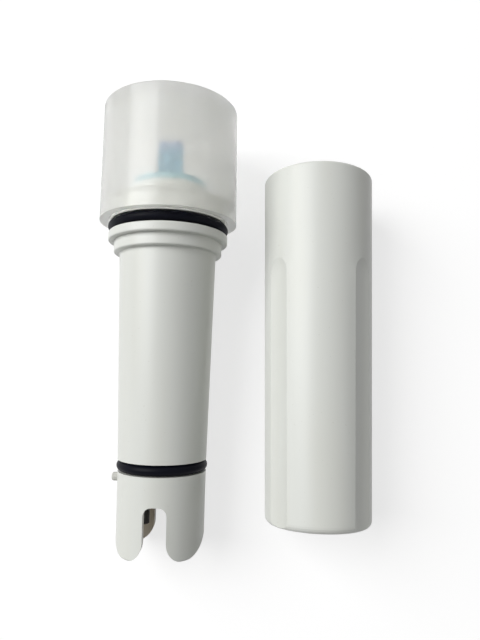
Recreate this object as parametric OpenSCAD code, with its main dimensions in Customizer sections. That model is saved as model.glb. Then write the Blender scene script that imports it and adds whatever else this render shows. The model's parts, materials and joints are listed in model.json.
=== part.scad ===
// Plug-in pH electrode for a pocket meter, with a frosted cap pushed on over its
// contact end and its storage cap taken off and laid beside it.
// Both pieces lie on Z = 0 side by side, heads towards +Y, and the origin is under
// the middle of the pair. Millimetres.
// The electrode is drawn upright first: its axis is Z, the upper face of its flange is
// z = 0, the contact end is above and the open guard end is below.

/* [Flanges and collar] */
// Diameter of the flange that seats in the meter
flange_d = 24.7; // [23:0.1:27]
// Thickness of that flange
flange_t = 1.9; // [1.2:0.1:3]
// Diameter of the smaller step under the flange
step_d = 22.3; // [21.2:0.1:23]
// Thickness of the step
step_t = 2.4; // [1.6:0.1:4]
// Diameter of the collar that the connector cap grips
collar_d = 23.8; // [22:0.1:24.4]
// Height of that collar
collar_h = 4.5; // [3:0.1:7]
// Diameter of the neck that carries the contact board
neck_d = 15.6; // [15:0.1:18]
// Height of the neck
neck_h = 3.2; // [2:0.1:5]
// Edge rounding of flange, step and guard
edge_r = 0.35; // [0.15:0.05:0.5]

/* [Barrel] */
// Barrel diameter just under the step
barrel_d = 19.9; // [19:0.1:20.6]
// Barrel diameter just above the lower seal
barrel_low_d = 17.75; // [17:0.05:18.4]
// Barrel length from the step to the lower seal groove
barrel_l = 41.5; // [34:0.5:50]
// Chamber diameter at the top of the barrel
chamber_d = 16.2; // [14:0.1:16.8]
// Chamber diameter at the foot of the taper
chamber_low_d = 14; // [12.6:0.1:14.4]
// Bore of the waist behind the lower seal, which holds the sensors' plug
waist_d = 12; // [11.4:0.1:12.2]
// Length of the waist above the lower seal groove
waist_lead = 0.9; // [0.5:0.1:3]
// Bore of the neck
neck_bore_d = 12.8; // [12:0.1:13.2]

/* [Guard end] */
// Length of the guard below the lower seal groove
guard_l = 15.6; // [14:0.1:20]
// Outside diameter at the prong ends
guard_d = 17.4; // [17:0.05:18]
// Wall of the guard
guard_wall = 1.7; // [1.2:0.1:2]
// Width of the slot between the two prongs
slot_w = 4.5; // [3:0.1:6]
// Length of the slot from its arch to the prong ends
slot_l = 10.1; // [8:0.1:11.5]
// Corner radius of the slot's arch
arch_r = 1.6; // [0.8:0.1:1.9]
// Height over which each prong end is rounded
nose_h = 3.6; // [2:0.1:5]
// Floor of the waist above the slot's arch, with the lip that holds the plug
lip_rise = 0.1; // [0.05:0.05:0.6]
// Thickness of that lip
lip_t = 0.5; // [0.4:0.1:1]
// Bore of that lip
lip_d = 10.8; // [10.6:0.1:11.2]

/* [Seals] */
// Section of the upper O-ring
upper_ring_t = 2; // [1.8:0.05:2.6]
// How far the upper O-ring stands past the flange
upper_ring_proud = 0.1; // [0:0.05:0.4]
// Section of the lower O-ring
lower_ring_t = 2; // [1.5:0.05:2.2]
// How far the lower O-ring stands past the barrel
lower_ring_proud = 0.2; // [0.1:0.05:0.4]
// Side room of each O-ring in its groove
ring_side = 0.15; // [0.05:0.05:0.3]

/* [Sensors] */
// Outside diameter of the glass tube
glass_d = 5; // [4.4:0.1:5.4]
// Wall of the glass tube
glass_wall = 0.45; // [0.3:0.05:0.8]
// Length of the glass tube with its domed end
glass_l = 41; // [34:0.5:48]
// How far the glass dome reaches past the lip
dome_reach = 1.8; // [1:0.1:2.4]
// Distance of the glass tube from the axis
glass_x = 1.7; // [1.5:0.05:1.9]
// Diameter of the temperature sheath
sheath_d = 3; // [2.4:0.1:3]
// Distance of the temperature sheath from the axis
sheath_x = 3.75; // [3.6:0.05:3.8]
// Height of the sheath's end above the prong ends
sheath_end = 5.1; // [3:0.1:7]
// Length of the temperature sheath
sheath_l = 13; // [11:0.5:16]
// Thickness of the plug that holds the sensors
holder_t = 2.4; // [1.8:0.1:3]
// Diameter of the reference wick
wick_d = 1.7; // [1.4:0.1:2]
// How far the wick stands out of the side
wick_proud = 1.2; // [0.6:0.1:2]
// Depth of the wick's axis below the lower seal groove
wick_drop = 1.5; // [1.05:0.05:1.6]
// Diameter of the bare silver wires
wire_d = 0.5; // [0.3:0.1:0.8]
// Diameter of the insulated leads
lead_d = 0.9; // [0.6:0.1:1]

/* [Contact end] */
// Diameter of the round contact board
board_d = 14.7; // [14:0.1:15.4]
// Thickness of the board and of the tongue
board_t = 1.2; // [0.8:0.1:1.8]
// Width of the contact tongue
tongue_w = 5.2; // [4:0.1:6]
// Height of the tongue above the board
tongue_h = 9.2; // [6:0.1:11]
// Depth of the tongue's tail below the board
tail_h = 1.6; // [1:0.1:3]
// Number of contact pads on the tongue
pad_n = 5; // [3:1:6]
// Width of a contact pad
pad_w = 0.6; // [0.4:0.05:0.7]
// Length of a contact pad
pad_l = 6; // [4:0.5:7]
// Thickness of a contact pad
pad_t = 0.06; // [0.04:0.01:0.1]

/* [Connector cap] */
// Diameter of the connector cap at its rim
cap_rim_d = 28.4; // [27.6:0.1:30]
// Diameter of the connector cap at its closed end
cap_top_d = 28; // [26.8:0.1:29]
// Length of the connector cap
cap_l = 24.2; // [22:0.1:28]
// Wall of the connector cap
cap_wall = 1.4; // [1:0.1:1.6]
// Height of the gripping bead inside the rim
bead_h = 3.4; // [2:0.1:4]
// Gap between bead and collar
cap_gap = 0.25; // [0.15:0.05:0.4]
// Gap between the cap's rim and the upper seal groove
rim_gap = 0.1; // [0.05:0.05:0.5]

/* [Storage cap] */
// Diameter of the storage cap at its mouth
store_mouth_d = 23.1; // [22.6:0.1:24]
// Diameter of the storage cap at its closed end
store_end_d = 20.9; // [20.9:0.1:22]
// Length of the storage cap
store_l = 71; // [68:0.5:80]
// Thickness of its closed end
store_end_t = 1.6; // [1.2:0.1:3]
// Length of the straight land inside its mouth
mouth_l = 6; // [4:0.5:8]
// Gap between that land and the barrel
mouth_gap = 0.25; // [0.15:0.05:0.3]
// Squeeze of the lower O-ring in the storage cap's bore
seal_squeeze = 0.1; // [0.05:0.01:0.12]
// Rounding of the closed end's edge
store_edge_r = 1.4; // [0.5:0.1:2]
// Rounding of the mouth's outer edge
mouth_edge_r = 0.6; // [0.2:0.1:0.7]
// Depth of the grip flutes
flute_depth = 0.55; // [0.3:0.05:0.7]
// Radius of a flute across and at its arched end
flute_r = 10; // [6:0.5:14]
// Distance from the mouth to the arched ends of the flutes
flute_start = 19; // [12:0.5:30]
// Angle of each flute from the cap's top or bottom line
flute_angle = 49; // [35:1:60]
// Thickness of the sponge disc in the closed end
sponge_t = 5; // [3:0.5:5.5]

/* [Lying side by side] */
// Clear gap between the two pieces
lying_gap = 6.1; // [3:0.1:12]
// How far the storage cap's mouth lies behind the head of the electrode
store_back = 14.5; // [0:0.1:20]
// Turn of the storage cap on the surface
store_yaw = -0.5; // [-2:0.1:2]
// Roll of the storage cap about its own axis
store_roll = -4; // [-20:1:20]

/* [Hidden] */

big_fn = 64;
ring_fn = 44;
small_fn = 28;
seat = 0.05;      // running room of pieces that are glued or cast into each other
over = 1;         // how far a cutting tool reaches past what it cuts

// Heights along the electrode, from the flange's upper face
z_flange = -flange_t;
z_step = z_flange - step_t;
z_ring2_top = z_step - barrel_l;
ring2_w = lower_ring_t + 2 * ring_side;
z_ring2_low = z_ring2_top - ring2_w;
z_tip = z_ring2_low - guard_l;
z_arch = z_tip + slot_l;
z_lip = z_arch + lip_rise;
z_holder = z_lip + lip_t;
z_holder_top = z_holder + holder_t;
z_waist = z_ring2_top + waist_lead;
z_wick = z_ring2_low - wick_drop;
ring1_w = upper_ring_t + 2 * ring_side;
z_collar = ring1_w + collar_h;
z_neck = z_collar + neck_h;
z_board = z_neck + board_t;
z_tongue = z_board + tongue_h;
z_tail = z_neck - tail_h;

// Radii that follow from the seals
ring1_r = flange_d / 2 + upper_ring_proud - upper_ring_t / 2;
ring1_floor = ring1_r - upper_ring_t / 2 - seat;
ring2_r = barrel_low_d / 2 + lower_ring_proud - lower_ring_t / 2;
ring2_floor = ring2_r - lower_ring_t / 2 - seat;
guard_top_d = barrel_low_d - 0.1;
chamber_cone = (chamber_low_d - waist_d) / 2;
shoulder_cone = (chamber_d - neck_bore_d) / 2;
z_shoulder = z_flange;

// Pieces inside
z_plug = z_shoulder - 0.2;
z_gel = z_plug - seat;
z_dome = z_lip - dome_reach;
z_glass_top = z_dome + glass_l;
bung_h = 3;
bung_head = 1.2;
z_bung_top = z_glass_top + bung_head;
z_sheath = z_tip + sheath_end;
z_sheath_top = z_sheath + sheath_l;
bead_d = 1.8;
sheath_end_t = 1.2;
lead_y = 0.7;
wire_y = 4.2;
z_wire_low = z_waist + 6;
wire_tail = 1.2;

// Connector cap
z_rim = ring1_w + rim_gap;
z_cap_top = z_rim + cap_l;
bead_r = collar_d / 2 + cap_gap;

// Storage cap
mouth_r = barrel_d / 2 + mouth_gap;
seal_r = ring2_r + lower_ring_t / 2 - seal_squeeze;
seal_depth = barrel_l - 2;
bore_end_r = seal_r - 0.1;
store_taper = atan((store_mouth_d - store_end_d) / 2 / store_l);
flute_run = sqrt(2 * flute_r * flute_depth - pow(flute_depth, 2));
flute_l = store_l - flute_start - flute_run;

// Half width of the slot at a height above the prong ends: straight, then rounding
// away to the middle of each prong
prong_half = (guard_d / 2 - slot_w / 2) / 2;
function slot_half(h) = h >= nose_h ? slot_w / 2
    : slot_w / 2 + prong_half * (1 - sqrt(max(0, 1 - pow((nose_h - h) / nose_h, 2))));

// The electrode rests on its connector cap's rim and on the lower edges of its prongs
function prong_reach(h) = sqrt(pow(guard_d / 2, 2) - pow(slot_half(h), 2));
prong_slopes = [for (i = [0:20]) let (h = nose_h * i / 20)
    atan((cap_rim_d / 2 - prong_reach(h)) / (z_rim - z_tip - h))];
ring_slope = atan((cap_rim_d / 2 - ring2_r - lower_ring_t / 2)
    / (z_rim - (z_ring2_top + z_ring2_low) / 2));
tilt = min(min(prong_slopes), ring_slope);

// Places on the surface, with the pair's box centred on the origin
pair_w = cap_rim_d + lying_gap + store_mouth_d;
electrode_x = (cap_rim_d - pair_w) / 2;
head_reach = z_cap_top * cos(tilt) + cap_top_d / 2 * sin(tilt);
tip_reach = -z_tip * cos(tilt) + prong_reach(0) * sin(tilt);
electrode_y = (tip_reach - head_reach) / 2;
electrode_z = cap_rim_d / 2 * cos(tilt) - z_rim * sin(tilt);
mouth_x = (pair_w - store_mouth_d) / 2;
mouth_y = electrode_y + head_reach - store_back;

// Places a drawn-upright electrode piece where it lies
module lay_electrode() {
    translate([electrode_x, electrode_y, electrode_z])
        rotate([tilt - 90, 0, 0])
            children();
}

// Places a storage cap piece, drawn upright with its closed end at z = 0
module lay_store() {
    translate([mouth_x, mouth_y, 0])
        rotate([0, 0, store_yaw])
            translate([0, -store_l * cos(store_taper), store_end_d / 2 * cos(store_taper)])
                rotate([store_taper - 90, 0, 0])
                    rotate([0, 0, store_roll])
                        children();
}

// Points of an arc about a centre, from one angle to another
function arc(cx, cy, r, from, to, n = 3) =
    [for (i = [0:n]) let (a = from + (to - from) * i / n) [cx + r * cos(a), cy + r * sin(a)]];

// A round rod from one height to another at a place in the section
module rod(d, low, high, x = 0, y = 0) {
    translate([x, y, low]) cylinder(h = high - low, d = d, $fn = small_fn);
}

module o_ring(radius, section, z) {
    translate([0, 0, z])
        rotate_extrude($fn = ring_fn)
            translate([radius, 0]) circle(d = section, $fn = 16);
}

// Outline of the housing from its neck down to the prong ends
module housing_outside() {
    e = edge_r;
    polygon(concat(
        [[0, z_neck], [neck_d / 2 - e, z_neck], [neck_d / 2, z_neck - e],
         [neck_d / 2, z_collar]],
        arc(collar_d / 2 - e, z_collar - e, e, 90, 0),
        [[collar_d / 2, ring1_w], [ring1_floor, ring1_w], [ring1_floor, 0]],
        arc(flange_d / 2 - e, -e, e, 90, 0),
        arc(flange_d / 2 - e, z_flange + e, e, 0, -90),
        [[step_d / 2, z_flange]],
        arc(step_d / 2 - e, z_step + e, e, 0, -90),
        arc(barrel_d / 2 + e, z_step - e, e, 90, 180),
        [[barrel_low_d / 2, z_ring2_top], [ring2_floor, z_ring2_top],
         [ring2_floor, z_ring2_low], [guard_top_d / 2, z_ring2_low]],
        arc(guard_d / 2 - e, z_tip + e, e, 0, -90),
        [[0, z_tip]]));
}

// Hollow of the housing: neck bore, tapered chamber, waist, lip and guard
module housing_inside() {
    guard_r = guard_d / 2 - guard_wall;
    polygon([
        [0, z_neck + over], [neck_bore_d / 2, z_neck + over],
        [neck_bore_d / 2, z_shoulder], [chamber_d / 2, z_shoulder - shoulder_cone],
        [chamber_low_d / 2, z_waist + chamber_cone], [waist_d / 2, z_waist],
        [waist_d / 2, z_holder], [lip_d / 2, z_holder], [lip_d / 2, z_lip],
        [guard_r, z_lip], [guard_r, z_tip - over], [0, z_tip - over]]);
}

// Side view of the gap between the prongs: arched top, straight sides, and round
// prong ends that meet the gap and the outside with the same curve
module prong_gap() {
    w = slot_w / 2;
    half = [for (i = [0:8]) let (a = 90 * i / 8, h = nose_h * (1 - sin(a)))
        [slot_half(h), z_tip + h]];
    side = concat(arc(w - arch_r, z_arch - arch_r, arch_r, 90, 0, 4), half,
        [[w + prong_half, z_tip - over]]);
    polygon(concat(side, [for (i = [len(side) - 1:-1:0]) [-side[i][0], side[i][1]]]));
}

// Side view of what is cut off outside a prong's round end
module prong_corner() {
    outer = guard_d / 2;
    curve = [for (i = [0:8]) let (a = 90 * i / 8, h = nose_h * (1 - sin(a)))
        [slot_w / 2 + outer - slot_half(h), z_tip + h]];
    polygon(concat([[outer + over, z_tip + nose_h]], curve,
        [[slot_w / 2 + prong_half, z_tip - over], [outer + over, z_tip - over]]));
}

module through_cut() {
    rotate([90, 0, 0])
        linear_extrude(height = guard_d + 2 * over, center = true)
            children();
}

module electrode_housing() color([0.86, 0.86, 0.83]) lay_electrode() {
    difference() {
        rotate_extrude($fn = big_fn) housing_outside();
        rotate_extrude($fn = big_fn) housing_inside();
        through_cut() prong_gap();
        through_cut() prong_corner();
        mirror([1, 0, 0]) through_cut() prong_corner();
        translate([0, 0, z_wick])
            rotate([0, -90, 0])
                cylinder(h = flange_d, d = wick_d + 2 * seat, $fn = small_fn);
    }
}

module upper_o_ring() color([0.07, 0.07, 0.07]) lay_electrode()
    o_ring(ring1_r, upper_ring_t, ring1_w / 2);

module lower_o_ring() color([0.07, 0.07, 0.07]) lay_electrode()
    o_ring(ring2_r, lower_ring_t, (z_ring2_top + z_ring2_low) / 2);

// Cast plug in the waist that carries the glass tube and the temperature sheath
module sensor_holder() color([0.24, 0.24, 0.25]) lay_electrode() {
    difference() {
        rod(waist_d - 2 * seat, z_holder, z_holder_top);
        rod(glass_d + 2 * seat, z_holder - over, z_holder_top + over, glass_x);
        rod(sheath_d + 2 * seat, z_holder - over, z_holder_top + over, -sheath_x);
    }
}

// Outline of a round-ended tube or of its filling
module domed_outline(r, low, high) {
    polygon(concat([[0, high], [r, high]], arc(0, low + r, r, 0, -90, 6)));
}

module glass_sensor() color([0.75, 0.85, 0.88, 0.6]) lay_electrode() {
    inner_r = glass_d / 2 - glass_wall;
    translate([glass_x, 0, 0])
        rotate_extrude($fn = small_fn)
            difference() {
                domed_outline(glass_d / 2, z_dome, z_glass_top);
                domed_outline(inner_r, z_dome + glass_wall, z_glass_top + over);
            }
}

// Buffer solution that fills the glass tube up to its bung
module inner_buffer() color([0.80, 0.90, 0.95, 0.5]) lay_electrode() {
    fill_r = glass_d / 2 - glass_wall - seat;
    difference() {
        translate([glass_x, 0, 0])
            rotate_extrude($fn = small_fn)
                domed_outline(fill_r, z_dome + glass_wall + seat, z_glass_top - bung_h - seat);
        rod(wire_d + 2 * seat, z_dome + glass_d / 2, z_glass_top, glass_x);
    }
}

module glass_bung() color([0.55, 0.20, 0.16]) lay_electrode() {
    difference() {
        union() {
            rod(glass_d - 2 * glass_wall - 2 * seat, z_glass_top - bung_h, z_glass_top, glass_x);
            rod(glass_d, z_glass_top, z_bung_top, glass_x);
        }
        rod(wire_d + 2 * seat, z_glass_top - bung_h - over, z_bung_top + over, glass_x);
    }
}

module sensing_wire() color([0.80, 0.80, 0.82]) lay_electrode()
    rod(wire_d, z_dome + glass_d / 2 + seat, z_bung_top, glass_x);

module sensor_lead() color([0.75, 0.12, 0.10]) lay_electrode()
    rod(lead_d, z_bung_top, z_tail, glass_x);

module reference_wire() color([0.80, 0.80, 0.82]) lay_electrode()
    rod(wire_d, z_wire_low, z_plug + wire_tail, 0, wire_y);

module reference_lead() color([0.15, 0.35, 0.70]) lay_electrode()
    rod(lead_d, z_plug + wire_tail, z_neck, 0, wire_y);

// Porous wick through the side wall, with a rounded outer end
module reference_wick() color([0.84, 0.84, 0.80]) lay_electrode() {
    inner = waist_d / 2 + seat;
    outer = barrel_low_d / 2 + wick_proud;
    r = wick_d / 2;
    translate([0, 0, z_wick])
        rotate([0, -90, 0])
            rotate_extrude($fn = small_fn)
                polygon(concat([[0, inner], [r, inner]],
                    arc(r - r / 2, outer - r / 2, r / 2, 0, 90, 4), [[0, outer]]));
}

// Gelled electrolyte that fills the chamber round the glass tube
module reference_gel() color([0.85, 0.88, 0.80, 0.5]) lay_electrode() {
    difference() {
        rotate_extrude($fn = ring_fn)
            polygon([[0, z_gel], [neck_bore_d / 2 - seat, z_gel],
                [chamber_d / 2 - seat, z_shoulder - shoulder_cone - seat],
                [chamber_low_d / 2 - seat, z_waist + chamber_cone + seat],
                [waist_d / 2 - seat, z_waist + seat],
                [waist_d / 2 - seat, z_holder_top + seat], [0, z_holder_top + seat]]);
        rod(glass_d + 2 * seat, z_holder, z_bung_top + seat, glass_x);
        rod(lead_d + 2 * seat, z_glass_top, z_gel + over, glass_x);
        rod(sheath_d + 2 * seat, z_holder, z_sheath_top + seat, -sheath_x);
        for (side = [-1, 1])
            rod(lead_d + 2 * seat, z_sheath_top - over, z_gel + over,
                -sheath_x, side * lead_y);
        rod(wire_d + 2 * seat, z_wire_low - seat, z_gel + over, 0, wire_y);
    }
}

module temperature_sheath() color([0.09, 0.09, 0.10]) lay_electrode() {
    difference() {
        rod(sheath_d, z_sheath, z_sheath_top, -sheath_x);
        rod(bead_d + 2 * seat, z_sheath + sheath_end_t - seat, z_sheath_top - sheath_end_t,
            -sheath_x);
        for (side = [-1, 1])
            rod(lead_d / 2 + 2 * seat, z_sheath + sheath_end_t, z_sheath_top + over,
                -sheath_x, side * lead_y / 2);
    }
}

module thermistor_bead() color([0.15, 0.35, 0.20]) lay_electrode() {
    translate([-sheath_x, 0, z_sheath + sheath_end_t + bead_d / 2])
        sphere(d = bead_d, $fn = small_fn);
}

// Two insulated leads, thin where they run inside the sheath
module thermistor_leads() color([0.80, 0.75, 0.20]) lay_electrode() {
    for (side = [-1, 1]) {
        rod(lead_d / 2, z_sheath + sheath_end_t + bead_d + seat, z_sheath_top + seat,
            -sheath_x, side * lead_y / 2);
        rod(lead_d, z_sheath_top + seat, z_neck, -sheath_x, side * lead_y);
    }
}

// Cast resin that seals the neck round the leads
module potting_plug() color([0.30, 0.31, 0.33]) lay_electrode() {
    difference() {
        rod(neck_bore_d - 2 * seat, z_plug, z_neck);
        rod(lead_d + 2 * seat, z_plug - over, z_tail, glass_x);
        rod(wire_d + 2 * seat, z_plug - over, z_plug + wire_tail + seat, 0, wire_y);
        rod(lead_d + 2 * seat, z_plug + wire_tail, z_neck + over, 0, wire_y);
        for (side = [-1, 1])
            rod(lead_d + 2 * seat, z_plug - over, z_neck + over,
                -sheath_x, side * lead_y);
        tongue_block(seat, z_tail, z_neck + over);
    }
}

// Upright block of the tongue's section, grown by a gap on all four sides
module tongue_block(gap, low, high) {
    translate([-tongue_w / 2 - gap, -board_t / 2 - gap, low])
        cube([tongue_w + 2 * gap, board_t + 2 * gap, high - low]);
}

module contact_board() color([0.45, 0.72, 0.78]) lay_electrode() {
    difference() {
        translate([0, 0, z_neck]) cylinder(h = board_t, d = board_d, $fn = big_fn);
        tongue_block(seat, z_neck - over, z_board + over);
    }
}

module contact_tongue() color([0.16, 0.50, 0.66]) lay_electrode() {
    lead_in = tongue_w / 8;
    translate([0, board_t / 2, 0])
        rotate([90, 0, 0])
            linear_extrude(height = board_t)
                polygon([[-tongue_w / 2, z_tail], [tongue_w / 2, z_tail],
                    [tongue_w / 2, z_tongue - lead_in], [tongue_w / 2 - lead_in, z_tongue],
                    [lead_in - tongue_w / 2, z_tongue], [-tongue_w / 2, z_tongue - lead_in]]);
}

// Gilt pads on the lower face of the tongue
module contact_pads() color([0.86, 0.70, 0.30]) lay_electrode() {
    pitch = tongue_w / (pad_n + 0.5);
    for (i = [0:pad_n - 1])
        translate([(i - (pad_n - 1) / 2) * pitch - pad_w / 2, board_t / 2,
                   z_tongue - tongue_w / 8 - pad_l])
            cube([pad_w, pad_t, pad_l]);
}

// Thin tapered cap, thicker inside its rim where it grips the collar
module connector_cap() color([0.92, 0.92, 0.91, 0.6]) lay_electrode() {
    e = edge_r;
    slope = (cap_rim_d - cap_top_d) / 2 / cap_l;
    lead = cap_rim_d / 2 - cap_wall - bead_r;
    z_bead = z_rim + bead_h;
    z_roof = z_cap_top - cap_wall;
    rotate_extrude($fn = big_fn)
        polygon(concat(
            [[0, z_cap_top]],
            arc(cap_top_d / 2 - e, z_cap_top - e, e, 90, 0),
            [[cap_rim_d / 2, z_rim], [bead_r + e, z_rim], [bead_r, z_rim + e],
             [bead_r, z_bead],
             [cap_rim_d / 2 - cap_wall - slope * (bead_h + lead), z_bead + lead],
             [cap_rim_d / 2 - cap_wall - slope * (cap_l - cap_wall) - e, z_roof],
             [0, z_roof]]));
}

// Tapered bore of the storage cap: mouth land, taper, sealing land, closed end
module store_bore() {
    polygon([[0, store_l + over], [mouth_r + edge_r, store_l + over],
        [mouth_r + edge_r, store_l], [mouth_r, store_l - edge_r],
        [mouth_r, store_l - mouth_l], [seal_r, store_l - seal_depth],
        [seal_r, store_l - seal_depth - lower_ring_t * 3],
        [bore_end_r, store_end_t + store_edge_r / 2],
        [bore_end_r - store_edge_r / 2, store_end_t], [0, store_end_t]]);
}

// Ball-ended rod that cuts one grip flute, open at the closed end
module flute_cutter() {
    translate([store_end_d / 2 - flute_depth + flute_r, 0, 0])
        rotate([0, store_taper, 0]) {
            translate([0, 0, -2 * over])
                cylinder(h = flute_l + 2 * over, r = flute_r, $fn = big_fn);
            translate([0, 0, flute_l]) sphere(r = flute_r, $fn = big_fn);
        }
}

module storage_cap() color([0.87, 0.87, 0.84]) lay_store() {
    difference() {
        rotate_extrude($fn = big_fn)
            polygon(concat(
                [[0, 0]],
                arc(store_end_d / 2 - store_edge_r, store_edge_r, store_edge_r, -90, 0, 5),
                arc(store_mouth_d / 2 - mouth_edge_r, store_l - mouth_edge_r, mouth_edge_r,
                    0, 90, 4),
                [[0, store_l]]));
        rotate_extrude($fn = big_fn) store_bore();
        for (line = [-90, 90], side = [-1, 1])
            rotate([0, 0, line + side * flute_angle]) flute_cutter();
    }
}

// Damp sponge disc that keeps the sensor wet
module storage_sponge() color([0.93, 0.86, 0.55]) lay_store()
    translate([0, 0, store_end_t])
        cylinder(h = sponge_t, r = bore_end_r - store_edge_r / 2 - seat, $fn = ring_fn);

electrode_housing();
upper_o_ring();
lower_o_ring();
sensor_holder();
glass_sensor();
inner_buffer();
glass_bung();
sensing_wire();
sensor_lead();
reference_wire();
reference_lead();
reference_wick();
reference_gel();
temperature_sheath();
thermistor_bead();
thermistor_leads();
potting_plug();
contact_board();
contact_tongue();
contact_pads();
connector_cap();
storage_cap();
storage_sponge();
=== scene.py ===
# %% [markdown]
# A plug-in pH electrode for a pocket meter lies on a white table with a frosted cap pushed
# over its contact end. The storage cap that keeps its tip wet has been taken off and lies
# beside it. Every rigid piece comes from the packed CAD part, which is loaded here as a
# fixed frame, so this lesson is about finishes: how moulded plastic, rubber, frosted plastic,
# glass and foam are told apart by their colour, their shine and their fine relief.

import json
import math

import bmesh
import bpy
from mathutils import Matrix, Vector
from mathutils import noise as lumps


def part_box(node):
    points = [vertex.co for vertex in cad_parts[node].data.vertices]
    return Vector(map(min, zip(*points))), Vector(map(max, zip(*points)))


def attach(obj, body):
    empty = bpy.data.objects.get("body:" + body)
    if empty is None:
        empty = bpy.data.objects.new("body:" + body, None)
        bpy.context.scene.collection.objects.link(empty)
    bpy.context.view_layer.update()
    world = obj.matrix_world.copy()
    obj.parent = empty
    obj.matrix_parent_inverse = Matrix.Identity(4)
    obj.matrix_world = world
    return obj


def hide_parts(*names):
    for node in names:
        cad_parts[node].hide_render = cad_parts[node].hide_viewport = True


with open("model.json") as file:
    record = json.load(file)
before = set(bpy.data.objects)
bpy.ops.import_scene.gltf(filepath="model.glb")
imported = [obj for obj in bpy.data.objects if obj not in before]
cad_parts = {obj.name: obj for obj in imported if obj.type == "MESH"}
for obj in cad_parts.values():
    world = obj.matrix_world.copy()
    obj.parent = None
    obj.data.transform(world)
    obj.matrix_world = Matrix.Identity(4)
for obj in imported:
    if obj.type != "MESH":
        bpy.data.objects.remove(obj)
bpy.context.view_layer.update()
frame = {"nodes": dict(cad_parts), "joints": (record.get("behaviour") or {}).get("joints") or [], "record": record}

# %% [markdown]
# All patterns should follow the pieces and not the table. The electrode is tilted, because
# it rests on its cap's rim and on its prongs, and the storage cap is turned a little. So
# each of the two gets a place of its own, a matrix whose Z runs along the piece. The axis
# comes from the part's joint and from its mount. The electrode's zero is the middle of its
# upper seal, and the storage cap's zero is its mouth.

# %% Places of the electrode and of the storage cap
MM = 0.001


def lying_place(centre, axis):
    """A matrix at the centre with Z along the axis, and X across it and level."""
    z = Vector(axis).normalized()
    x = Vector((1, 0, 0))
    x = (x - z * x.dot(z)).normalized()
    turn = Matrix((x, z.cross(x), z)).transposed()
    return Matrix.Translation(centre) @ turn.to_4x4()


def middle(node):
    """The centre of a CAD node's box."""
    low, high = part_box(node)
    return (low + high) / 2


mounts = {mount["name"]: mount for mount in frame["record"]["mounts"]}
mouth = mounts["storage_cap_mouth"]
slide = frame["joints"][0]
electrode_place = lying_place(middle("upper_o_ring"), slide["axis"])
storage_place = lying_place(Vector(mouth["pos_m"]), mouth["axis"])
print("the electrode slopes by", round(math.degrees(math.asin(slide["axis"][2])), 2), "degrees")

# %% [markdown]
# A finish is a small tree of nodes. Written node by node it is hard to read, so one class
# stands for a node's output and lets Python's own + - * add the Math nodes. The methods
# below the operators are named for what they do to a distance or a mask.

# %% Shader sums written as Python
class Wire:
    """The output of a shader node. A sum on it adds a Math node."""

    def __init__(self, finish, socket):
        self.finish = finish
        self.socket = socket

    def sum(self, operation, *values):
        return self.finish.node("Math", {"operation": operation}, dict(enumerate(values)))

    def __add__(self, other):
        return self.sum("ADD", self, other)

    def __sub__(self, other):
        return self.sum("SUBTRACT", self, other)

    def __rsub__(self, other):
        return self.sum("SUBTRACT", other, self)

    def __mul__(self, other):
        return self.sum("MULTIPLY", self, other)

    __radd__ = __add__
    __rmul__ = __mul__

    def size(self):
        """The value without its sign."""
        return self.sum("ABSOLUTE", self)

    def root(self):
        return self.sum("SQRT", self)

    def least(self, other):
        return self.sum("MINIMUM", self, other)

    def repeat(self, length):
        """The distance from the nearest multiple of the length."""
        return self.sum("PINGPONG", self, length / 2)

    def ramp(self, start, end):
        """0 up to start, 1 from end on, and smooth between."""
        return self.finish.node(
            "MapRange", {"interpolation_type": "SMOOTHSTEP"},
            {"Value": self, "From Min": start, "From Max": end})


def across(x, y):
    """How far a point is from a middle that lies x and y away."""
    return (x * x + y * y).root()


print("a wire can", ", ".join(name for name in vars(Wire) if not name.startswith("_")))

# %% [markdown]
# A second class holds the tree and adds any other node. A node's settings go in first,
# because some of them change which sockets it has. All patterns are measured in millimetres
# along the piece, so a size in a finish is the size that a ruler on the object would give.

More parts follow.
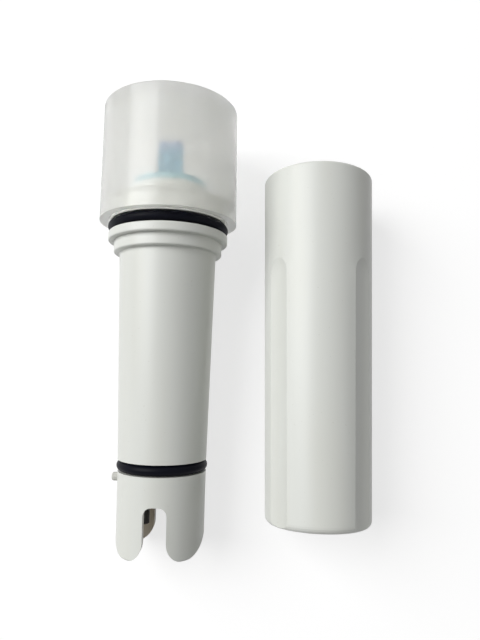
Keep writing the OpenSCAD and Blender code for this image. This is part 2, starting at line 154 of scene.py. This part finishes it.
# %% A finish and its tree of nodes
class Finish:
    """The tree of nodes of a material or of the world."""

    def __init__(self, owner):
        owner.use_nodes = True
        self.owner = owner
        self.tree = owner.node_tree
        self.tree.nodes.clear()

    def node(self, kind, settings=None, sockets=None, output=0):
        """Adds a node and gives the wire of one of its outputs."""
        made = self.tree.nodes.new("ShaderNode" + kind)
        for name, value in (settings or {}).items():
            setattr(made, name, value)
        for name, value in (sockets or {}).items():
            if isinstance(value, Wire):
                self.tree.links.new(value.socket, made.inputs[name])
            else:
                made.inputs[name].default_value = value
        return Wire(self, made.outputs[output])

    def millimetres(self, place):
        """A point's place along the piece's own axes, in millimetres."""
        point = self.node("TexCoord", output="Object")
        return self.node("Mapping", {"vector_type": "TEXTURE"}, {
            "Vector": point, "Location": place.to_translation(),
            "Rotation": place.to_euler(), "Scale": (MM, MM, MM)})

    def stretched(self, point, scale):
        """A point for noise, where a scale under 1 draws the lumps out along that axis."""
        return self.node("VectorMath", {"operation": "MULTIPLY"}, {0: point, 1: scale})

    def xyz(self, point):
        """The wires of a point's three numbers."""
        split = self.node("SeparateXYZ", sockets={"Vector": point})
        return [Wire(self, socket) for socket in split.socket.node.outputs]

    def noise(self, point, size, detail=2.0, rough=0.5):
        """Cloudy noise whose lumps are about size millimetres across, from 0 to 1."""
        return self.node("TexNoise", None, {
            "Vector": point, "Scale": 1 / size, "Detail": detail, "Roughness": rough})

    def cells(self, point, size):
        """The distance from the middle of the nearest of many cells of about that size."""
        return self.node("TexVoronoi", None, {"Vector": point, "Scale": 1 / size})

    def blend(self, factor, first, second):
        """Mixes two colours."""
        return self.node("Mix", {"data_type": "RGBA"}, {0: factor, 6: first, 7: second}, output=2)

    def bump(self, height, depth):
        """A normal bent by the height, where a height of 1 stands depth millimetres up."""
        return self.node("Bump", None, {
            "Height": height, "Distance": depth * MM, "Strength": 1.0})

    def shade(self, **sockets):
        """Ends the tree in a Principled shader, whose sockets are named in small letters."""
        named = {name.replace("_", " ").title().replace("Ior", "IOR"): value
                 for name, value in sockets.items()}
        return self.end(self.node("BsdfPrincipled", None, named))

    def end(self, shader):
        """Sends a shader to the tree's output, and gives back what the tree belongs to."""
        is_world = isinstance(self.owner, bpy.types.World)
        out = self.tree.nodes.new("ShaderNodeOutput" + ("World" if is_world else "Material"))
        self.tree.links.new(shader.socket, out.inputs["Surface"])
        print(self.owner.name, "has", len(self.tree.nodes), "nodes")
        return self.owner


def new_finish(name):
    return Finish(bpy.data.materials.new(name))


# %% [markdown]
# Colours are written as they look on a screen, with parts from 0 to 255. A shader works in
# linear light, so they are converted once, here.

# %% Colours
WHITE = (1.0, 1.0, 1.0, 1.0)


def ink(red, green, blue):
    """The linear colour of a screen colour with parts from 0 to 255."""
    linear = [((c / 255 + 0.055) / 1.055) ** 2.4 if c > 10 else c / 255 / 12.92
              for c in (red, green, blue)]
    return (*linear, 1.0)


def grey(level):
    """A linear grey."""
    return (level, level, level, 1.0)


print("a mid grey of 128 is", round(ink(128, 128, 128)[0], 3), "in linear light")

# %% [markdown]
# Housing and storage cap are injection mouldings in the same warm light grey. Such a mould is
# spark eroded, which leaves an even, very fine grain. Its two halves meet in a seam along
# both sides. The tone drifts a little where the melt flowed, and handling leaves parts of
# the surface a bit shinier. Each of these is one line of noise, far weaker than it is
# tempting to make it. Inside the guard the plastic is painted a paler, warmer tone, a painted
# glow that stands in for light shining through the thin plastic in the guard's shade.

# %% Moulded plastic
PLASTIC = ink(222, 224, 219)
PLASTIC_WARM = ink(218, 219, 211)
PLASTIC_SPECK = ink(176, 172, 158)
# Painted light: a paler, warmer tone inside the guard that stands in for light glowing through the thin plastic in
# its shade
PLASTIC_PAINTED_GLOW = ink(240, 231, 214)
# The guard's radius inside, and the Z below which it is open, in millimetres
GUARD_INSIDE = {"bore": 7.0, "below": -48.0}


def moulded_plastic(name, place, bore=0.0, below=0.0):
    """Light grey plastic. With a bore, a painted glow makes it paler and warmer within that radius and below that
    Z.
    """
    finish = new_finish(name)
    point = finish.millimetres(place)
    drift = finish.noise(finish.stretched(point, (1, 1, 0.12)), size=7, detail=3)
    grain = finish.noise(point, size=0.22, detail=3, rough=0.6)
    rub = finish.noise(finish.stretched(point, (1, 1, 0.3)), size=3.5, detail=4)
    speck = finish.noise(point, size=0.45, detail=1).ramp(0.74, 0.8)
    x, y, z = finish.xyz(point)
    seam = 1 - y.size().ramp(0.03, 0.11)
    tone = finish.blend(drift.ramp(0.35, 0.7) * 0.6, PLASTIC, PLASTIC_WARM)
    tone = finish.blend(speck * 0.25, tone, PLASTIC_SPECK)
    if bore:
        # Painted light: the warm glow inside the guard, standing in for light through the thin plastic in its
        # shade
        inside = (1 - across(x, y).ramp(bore + 0.1, bore + 0.4)) * (below - z).ramp(0, 1)
        tone = finish.blend(inside, tone, PLASTIC_PAINTED_GLOW)
    return finish.shade(
        base_color=tone, roughness=0.35 + (rub - 0.5) * 0.12, specular_ior_level=0.36,
        normal=finish.bump(grain + seam * 1.2, 0.012))


FINISHES = {
    "electrode_housing": moulded_plastic("housing_plastic", electrode_place, **GUARD_INSIDE),
    "storage_cap": moulded_plastic("storage_plastic", storage_place),
}

# %% [markdown]
# The frosted cap is thin polypropylene with a matt skin. Light goes through its wall but is
# spread on the way, so what lies close behind shows soft and pale. A Principled shader does
# that with part transmission and a rough surface: the rough glass blurs, and the diffuse
# part veils. The index of refraction is set low, so that so thin a wall hardly bends the
# view. A weak coat, smoother than the wall, gives the bright band down the cap its clear edge.

# %% Frosted plastic
FROSTED = ink(238, 238, 236)
FROSTED_CLOUD = ink(232, 232, 228)


def frosted_plastic():
    finish = new_finish("frosted_plastic")
    point = finish.millimetres(electrode_place)
    cloud = finish.noise(finish.stretched(point, (1, 1, 0.25)), size=5, detail=3)
    grain = finish.noise(point, size=0.3, detail=3, rough=0.6)
    tone = finish.blend(cloud.ramp(0.3, 0.75) * 0.5, FROSTED, FROSTED_CLOUD)
    return finish.shade(
        base_color=tone, roughness=0.36 + (cloud - 0.5) * 0.04, ior=1.11,
        normal=finish.bump(grain, 0.008), transmission_weight=0.755,
        coat_weight=0.48, coat_roughness=0.14, coat_ior=1.4)


FINISHES["connector_cap"] = frosted_plastic()

# %% [markdown]
# An O-ring is pressed from black nitrile rubber and is lightly greased. It has a dull grain
# and a soft, weak shine that differs with the grease, and its black leans to blue.

# %% Rubber of the seals
RUBBER = ink(7, 8, 17)
RUBBER_GREASED = ink(14, 15, 28)


def seal_rubber(name):
    finish = new_finish(name)
    point = finish.millimetres(electrode_place)
    grain = finish.noise(point, size=0.12)
    grease = finish.noise(point, size=2.2, detail=3)
    tone = finish.blend(grease.ramp(0.5, 0.8) * 0.5, RUBBER, RUBBER_GREASED)
    return finish.shade(
        base_color=tone, roughness=0.36 + grease * 0.16, specular_ior_level=0.07,
        normal=finish.bump(grain, 0.01))


FINISHES["upper_o_ring"] = seal_rubber("upper_seal_rubber")
FINISHES["lower_o_ring"] = seal_rubber("lower_seal_rubber")

# %% [markdown]
# The round board and the tongue are printed circuit board: glass cloth under a coloured
# lacquer. The board's rim shows the pale cloth. On the flat faces the lacquer is blue, or
# blue-green on the board, and the copper tracks under it lift it by a few hundredths of a
# millimetre. On the board, which is seen clearly only with the frosted cap off, the tracks
# run between two rows of round gilt pads. The tongue's tip fades to a pale violet, a painted
# veil that stands in for the light that the frosted cap spreads over the blue.

# %% Circuit board
GILT_PAD = ink(226, 190, 110)
# Painted light: the pale violet veil of the frosted cap, painted onto the tongue's tip
TONGUE_TIP_PAINTED_VEIL = ink(150, 164, 210)
# All in millimetres: the Z between which the tip fades, the spacing of the cloth's threads,
# half the length of a row of pads, and the radius of the board's lacquer
TIP_START = 15.8
TIP_END = 19.4
CLOTH_PITCH = 0.45
PADS_END = 5.8
LACQUER_END = 7.0


def circuit_board(name, lacquer, edge, track_pitch, pad_row=0.0):
    """Printed board. With a pad row, tracks end in round gilt pads that far from the middle."""
    finish = new_finish(name)
    point = finish.millimetres(electrode_place)
    x, y, z = finish.xyz(point)
    beside = x.repeat(track_pitch)
    tracks = 1 - beside.ramp(0.16, 0.24)
    weave = x.repeat(CLOTH_PITCH).ramp(0.05, 0.2) * z.repeat(CLOTH_PITCH).ramp(0.05, 0.2)
    fade = finish.noise(point, size=3)
    pads = 0.0
    if pad_row:
        past_row = y.size() - pad_row
        used = 1 - x.size().ramp(PADS_END - 0.1, PADS_END + 0.1)
        pads = used * (1 - across(beside, past_row).ramp(0.36, 0.44))
        tracks = tracks * used * (1 - past_row.ramp(-0.05, 0.05))
        bare_cloth = across(x, y).ramp(LACQUER_END, LACQUER_END + 0.2)
        lacquer = finish.blend(bare_cloth * 0.4, lacquer, edge)
    tone = finish.blend(tracks * 0.45, lacquer, edge)
    tone = finish.blend(weave * 0.12, tone, edge)
    # Painted light: towards its tip the tongue fades to the painted violet veil of the cap
    tone = finish.blend(z.ramp(TIP_START, TIP_END) * 0.85 + fade * 0.06, tone, TONGUE_TIP_PAINTED_VEIL)
    tone = finish.blend(pads, tone, GILT_PAD)
    return finish.shade(
        base_color=tone, roughness=0.34 + fade * 0.1, metallic=pads,
        normal=finish.bump(tracks + pads + weave * 0.3, 0.03))


FINISHES["contact_board"] = circuit_board(
    "board_lacquer", ink(76, 170, 190), ink(158, 215, 221), track_pitch=1.3, pad_row=3.6)
FINISHES["contact_tongue"] = circuit_board(
    "tongue_lacquer", ink(0, 136, 172), ink(0, 176, 204), track_pitch=0.9)

# %% [markdown]
# Small fittings get plain finishes of their own. The contact pads are gilt with the wipe
# marks of the socket, and the wires are silver with the marks of the die that drew them. Both
# kinds of mark are noise that is stretched along the electrode.

# %% Metals
TARNISH = ink(120, 100, 70)
METALS = {
    "contact_pads": ("gilt", ink(235, 196, 110), 0.2),
    "sensing_wire": ("sensing_silver", ink(214, 214, 216), 0.25),
    "reference_wire": ("reference_silver", ink(190, 188, 190), 0.4),
}


def wiped_metal(name, colour, rough):
    finish = new_finish(name)
    point = finish.millimetres(electrode_place)
    marks = finish.noise(finish.stretched(point, (1, 1, 0.05)), size=0.3, detail=3)
    tone = finish.blend(marks.ramp(0.3, 0.8) * 0.3, colour, TARNISH)
    return finish.shade(
        base_color=tone, metallic=1.0, roughness=rough + marks * 0.15,
        normal=finish.bump(marks, 0.004))


for node_name, recipe in METALS.items():
    FINISHES[node_name] = wiped_metal(*recipe)

# %% [markdown]
# Insulation, cast resin, the bung and the sheath are all cast or moulded in one tone, with a
# cloudy paler one in it and tiny bubbles that broke at the surface.

# %% Resins, insulation and the bung
RESINS = {
    "sensor_lead": ("red_insulation", ink(176, 34, 30), 0.35),
    "reference_lead": ("blue_insulation", ink(38, 84, 168), 0.35),
    "thermistor_leads": ("yellow_insulation", ink(206, 186, 56), 0.35),
    "glass_bung": ("bung_rubber", ink(150, 60, 48), 0.6),
    "sensor_holder": ("holder_resin", ink(58, 58, 61), 0.5),
    "potting_plug": ("potting_resin", ink(76, 78, 82), 0.4),
    "temperature_sheath": ("sheath_plastic", ink(20, 20, 22), 0.42),
    "thermistor_bead": ("bead_resin", ink(38, 88, 52), 0.3),
}


def paler(colour):
    return (*(min(1.0, part * 1.7 + 0.01) for part in colour[:3]), 1.0)


def cast_resin(name, colour, rough):
    finish = new_finish(name)
    point = finish.millimetres(electrode_place)
    pits = 1 - finish.cells(point, size=0.8).ramp(0.06, 0.16)
    cloud = finish.noise(point, size=1.6, detail=3)
    tone = finish.blend(cloud.ramp(0.3, 0.8) * 0.5, colour, paler(colour))
    return finish.shade(
        base_color=tone, roughness=rough + cloud * 0.12, normal=finish.bump(cloud - pits, 0.03))


for node_name, recipe in RESINS.items():
    FINISHES[node_name] = cast_resin(*recipe)

# %% [markdown]
# The reference wick is a bundle of fibres, soaked and a little darker where it is damp. Its
# fibres run out through the wall, so its noise is stretched along X and not along Z.

# %% Wick
WICK = ink(222, 222, 216)
WICK_SHADE = ink(186, 186, 180)
WICK_DAMP = ink(168, 166, 156)


def wick_fibre():
    finish = new_finish("wick_fibre")
    point = finish.millimetres(electrode_place)
    along = finish.stretched(point, (0.15, 1, 1))
    fibre = finish.noise(along, size=0.14, detail=3, rough=0.7)
    damp = finish.noise(point, size=0.9)
    tone = finish.blend(fibre.ramp(0.35, 0.7), WICK_SHADE, WICK)
    tone = finish.blend(damp.ramp(0.55, 0.8) * 0.4, tone, WICK_DAMP)
    return finish.shade(base_color=tone, roughness=0.8, normal=finish.bump(fibre, 0.05))


FINISHES["reference_wick"] = wick_fibre()

# %% [markdown]
# Glass, buffer solution and gel are clear, and differ in how much light they let through and
# in how rough they are: the glass is thin and nearly colourless, and the gel is milky.

# %% Glass and fillings
FILLING_CLOUD = ink(250, 250, 246)
FILLINGS = {
    "glass_sensor": ("sensor_glass", ink(226, 240, 244), 0.03, 0.92),
    "inner_buffer": ("buffer_liquid", ink(236, 244, 248), 0.02, 0.95),
    "reference_gel": ("reference_gel", ink(226, 230, 214), 0.2, 0.6),
}


def clear_filling(name, colour, rough, through):
    finish = new_finish(name)
    point = finish.millimetres(electrode_place)
    cloud = finish.noise(point, size=2.5)
    tone = finish.blend(cloud.ramp(0.3, 0.8) * 0.3, colour, FILLING_CLOUD)
    return finish.shade(
        base_color=tone, roughness=rough + cloud * 0.04, ior=1.42, transmission_weight=through)


for node_name, recipe in FILLINGS.items():
    FINISHES[node_name] = clear_filling(*recipe)

# %% [markdown]
# The storage cap holds a damp sponge disc. Its CAD solid is a plain disc, so a foam piece
# takes its place. First comes its finish: pale foam, painted darker in the middle of each
# cell as painted shade in the pore that the bump sinks there.

# %% Foam
FOAM = ink(240, 222, 150)
# Painted shade: the darker colour in each pore
FOAM_PORE_PAINTED_SHADE = ink(196, 172, 98)
FOAM_DAMP = ink(222, 198, 120)


def sponge_foam():
    finish = new_finish("sponge_foam")
    point = finish.millimetres(storage_place)
    skin = finish.cells(point, size=0.6).ramp(0.1, 0.45)
    cloud = finish.noise(point, size=2.5, detail=3)
    # Painted shade: each cell darkens towards the pit that the bump sinks in its middle
    tone = finish.blend(skin, FOAM_PORE_PAINTED_SHADE, FOAM)
    tone = finish.blend(cloud.ramp(0.4, 0.8) * 0.3, tone, FOAM_DAMP)
    return finish.shade(base_color=tone, roughness=0.85, normal=finish.bump(skin, 0.15))


foam = sponge_foam()

# %% [markdown]
# The disc is extruded from a circle, and its rims are rounded. Insets and cuts then divide it
# finely enough for noise to push pits into it, which are its open pores. The disc lies
# almost along Y, so the box of its CAD node is only a little longer there than it is thick.

# %% Sponge disc
SPONGE_SIDES = 96
SPONGE_RINGS = 14
SPONGE_GAP = 0.05 * MM
RIM_ROUND = 0.5 * MM
LONGEST_EDGE = 0.8 * MM
PORE_DEPTH = 0.35 * MM
PORE_SIZE = 0.9 * MM
PORE_LEVEL = 0.12


def plain_disc(radius, height):
    """A disc that stands on the origin, with rounded rims."""
    mesh = bmesh.new()
    bmesh.ops.create_circle(mesh, cap_ends=True, segments=SPONGE_SIDES, radius=radius)
    raised = bmesh.ops.extrude_face_region(mesh, geom=mesh.faces[:])
    top = [v for v in raised["geom"] if isinstance(v, bmesh.types.BMVert)]
    bmesh.ops.translate(mesh, vec=(0, 0, height), verts=top)
    rims = [e for e in mesh.edges if len(e.link_faces) == 2 and e.calc_face_angle() > 1]
    bmesh.ops.bevel(
        mesh, geom=rims, offset=RIM_ROUND, offset_type="OFFSET", segments=4, profile=0.5,
        affect="EDGES", material=-1)
    return mesh


def divide_finely(mesh, radius):
    """Cuts both ends into rings and every long edge into four."""
    for ring in range(SPONGE_RINGS):
        ends = [f for f in mesh.faces if len(f.verts) > 8]
        bmesh.ops.inset_region(
            mesh, faces=ends, thickness=radius / (SPONGE_RINGS + 2), use_even_offset=True)
    long_edges = [e for e in mesh.edges if e.calc_length() > LONGEST_EDGE]
    bmesh.ops.subdivide_edges(mesh, edges=long_edges, cuts=3, use_grid_fill=True)
    bmesh.ops.recalc_face_normals(mesh, faces=mesh.faces[:])


def sponge_disc():
    """A foam disc that fills the closed end of the storage cap."""
    low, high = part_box("storage_sponge")
    radius = (high.x - low.x) / 2 - SPONGE_GAP
    axis = storage_place.to_3x3().col[2]
    height = (high.y - low.y) - abs(axis.x) * 2 * radius - abs(axis.z) * 2 * radius
    mesh = plain_disc(radius, height)
    divide_finely(mesh, radius)
    for vert in mesh.verts:
        pit = lumps.noise(vert.co / PORE_SIZE)
        if pit > PORE_LEVEL:
            vert.co -= vert.normal * PORE_DEPTH * pit ** 0.5
    turn = storage_place.to_3x3().to_4x4()
    bmesh.ops.translate(mesh, vec=(0, 0, -height / 2), verts=mesh.verts[:])
    bmesh.ops.transform(
        mesh, matrix=Matrix.Translation(middle("storage_sponge")) @ turn, verts=mesh.verts[:])
    return mesh


# %% [markdown]
# A finished bmesh becomes an object at the origin, with its place in its mesh. The sponge
# rides on the electrode's body, stands in for its CAD node, and is a soft piece.

# %% From a bmesh to an object
def place_object(name, mesh, material):
    data = bpy.data.meshes.new(name)
    mesh.to_mesh(data)
    mesh.free()
    data.materials.append(material)
    made = bpy.data.objects.new(name, data)
    bpy.context.scene.collection.objects.link(made)
    print(name, len(data.polygons), "faces")
    return made


sponge = place_object("sponge_disc", sponge_disc(), foam)
for face in sponge.data.polygons:
    face.use_smooth = True
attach(sponge, "electrode")
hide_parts("storage_sponge")

# %% [markdown]
# Each CAD node keeps its shape and only changes its material. Assigning to the material slot
# leaves the mesh alone.

# %% Dress the CAD nodes
for node_name, material in FINISHES.items():
    mesh_data = frame["nodes"][node_name].data
    mesh_data.materials.clear()
    mesh_data.materials.append(material)
plain = set(frame["nodes"]) - set(FINISHES) - {"storage_sponge"}
print(len(FINISHES), "nodes dressed, and these left plain:", sorted(plain))

# %% [markdown]
# The table is a large white sheet. It has to look white in the picture without more light
# falling on the object, so the light that it seems to give off is added only for rays that
# come from the camera, from a mirror image or through glass. Its shaded colour stays under
# that, and so do the shadows. Away from the object the table turns into the white of the
# room, so that no horizon shows.

# %% White table
FLOOR_SIZE = 6.0
FLOOR_TONE = grey(0.36)
# The light that the table seems to give off beside the object, where 1 is white, and the
# distances in metres between which it turns into plain white
FLOOR_LIFT = 0.717
FLOOR_FADE = (0.15, 0.6)


def seen_directly(finish):
    """1 for rays whose hit shows in the picture, and 0 for rays that only carry light."""
    camera_ray, mirror_ray, glass_ray = [
        finish.node("LightPath", output=name)
        for name in ("Is Camera Ray", "Is Glossy Ray", "Is Transmission Ray")]
    return (camera_ray + mirror_ray + glass_ray).least(1.0)


def white_table():
    finish = new_finish("white_table")
    matt = finish.node("BsdfDiffuse", None, {"Color": FLOOR_TONE})
    glow = finish.node("Emission", None, {"Color": WHITE, "Strength": FLOOR_LIFT})
    lifted = finish.node("AddShader", None, {0: matt, 1: glow})
    far = finish.node("Emission", None, {"Color": WHITE, "Strength": 1.0})
    point = finish.node("TexCoord", output="Object")
    away = finish.node("VectorMath", {"operation": "LENGTH"}, {0: point}, output=1)
    shown = finish.node("MixShader", None, {0: away.ramp(*FLOOR_FADE), 1: lifted, 2: far})
    return finish.end(finish.node(
        "MixShader", None, {0: seen_directly(finish), 1: matt, 2: shown}))


floor_mesh = bmesh.new()
bmesh.ops.create_grid(floor_mesh, x_segments=1, y_segments=1, size=FLOOR_SIZE / 2)
table_top = place_object("table_top", floor_mesh, white_table())

# %% [markdown]
# The room is white too for the rays that show it, and lights the object only weakly, so that
# the lamps shape it.

# %% Room light
WORLD_LIGHT = 0.12

world = bpy.data.worlds.new("room")
bpy.context.scene.world = world
room = Finish(world)
dim = room.node("Background", None, {"Color": WHITE, "Strength": WORLD_LIGHT})
bright = room.node("Background", None, {"Color": WHITE, "Strength": 1.0})
room.end(room.node("MixShader", None, {0: seen_directly(room), 1: dim, 2: bright}))

# %% [markdown]
# The light in the picture comes from one large window or softbox on the left, a little
# towards the heads and about 43 degrees off the vertical. So the bright band on every round
# piece sits left of its middle, and the shadows on the right are wide and soft. A pale wall
# on the right sends a little light back. It is a weak lamp that isn't mirrored, so it lifts
# the dark sides without drawing a second bright band.

# %% Lamps
def softbox(name, direction, distance, width, height, power):
    """A rectangular lamp that faces the origin from a direction, in metres and watts."""
    lamp = bpy.data.lights.new(name, "AREA")
    lamp.shape = "RECTANGLE"
    lamp.size = width
    lamp.size_y = height
    lamp.energy = power
    holder = bpy.data.objects.new(name, lamp)
    away = Vector(direction).normalized()
    holder.location = away * distance
    holder.rotation_euler = away.to_track_quat("Z", "Y").to_euler()
    holder.visible_camera = False
    bpy.context.scene.collection.objects.link(holder)
    print(name, power, "W from", [round(part, 2) for part in away])
    return holder


softbox("window", (-0.66, 0.27, 0.76), distance=1.2, width=0.85, height=0.9, power=15.2)
wall = softbox("wall", (0.93, 0.0, 0.36), distance=1.2, width=1.2, height=0.6, power=1.7)
wall.visible_glossy = False

# %% [markdown]
# The camera looks down from about 120 mm, tilted 10 degrees towards the heads and turned by
# about 1 degree, as the ellipses of the rings in the photograph show. Such a near camera makes
# the frosted cap, which stands highest, look larger than it is.

# %% Camera
PHOTO_HEIGHT = 640
FOCAL_PIXELS = 534
SENSOR_MM = 36
CAMERA_AT = Vector((1.0, -19.3, 121.3)) * MM
CAMERA_TILT = math.radians(10.4)
CAMERA_TURN = math.radians(0.9)

camera_data = bpy.data.cameras.new("camera")
camera_data.sensor_width = SENSOR_MM
camera_data.lens = SENSOR_MM * FOCAL_PIXELS / PHOTO_HEIGHT
camera_data.clip_start = 0.01
camera_data.clip_end = 20
camera = bpy.data.objects.new("camera", camera_data)
bpy.context.scene.collection.objects.link(camera)
camera.matrix_world = (
    Matrix.Translation(CAMERA_AT) @ Matrix.Rotation(CAMERA_TURN, 4, "Z")
    @ Matrix.Rotation(CAMERA_TILT, 4, "X"))
bpy.context.scene.camera = camera
bpy.context.scene.view_settings.view_transform = "Standard"
print("lens", round(camera_data.lens, 2), "mm")
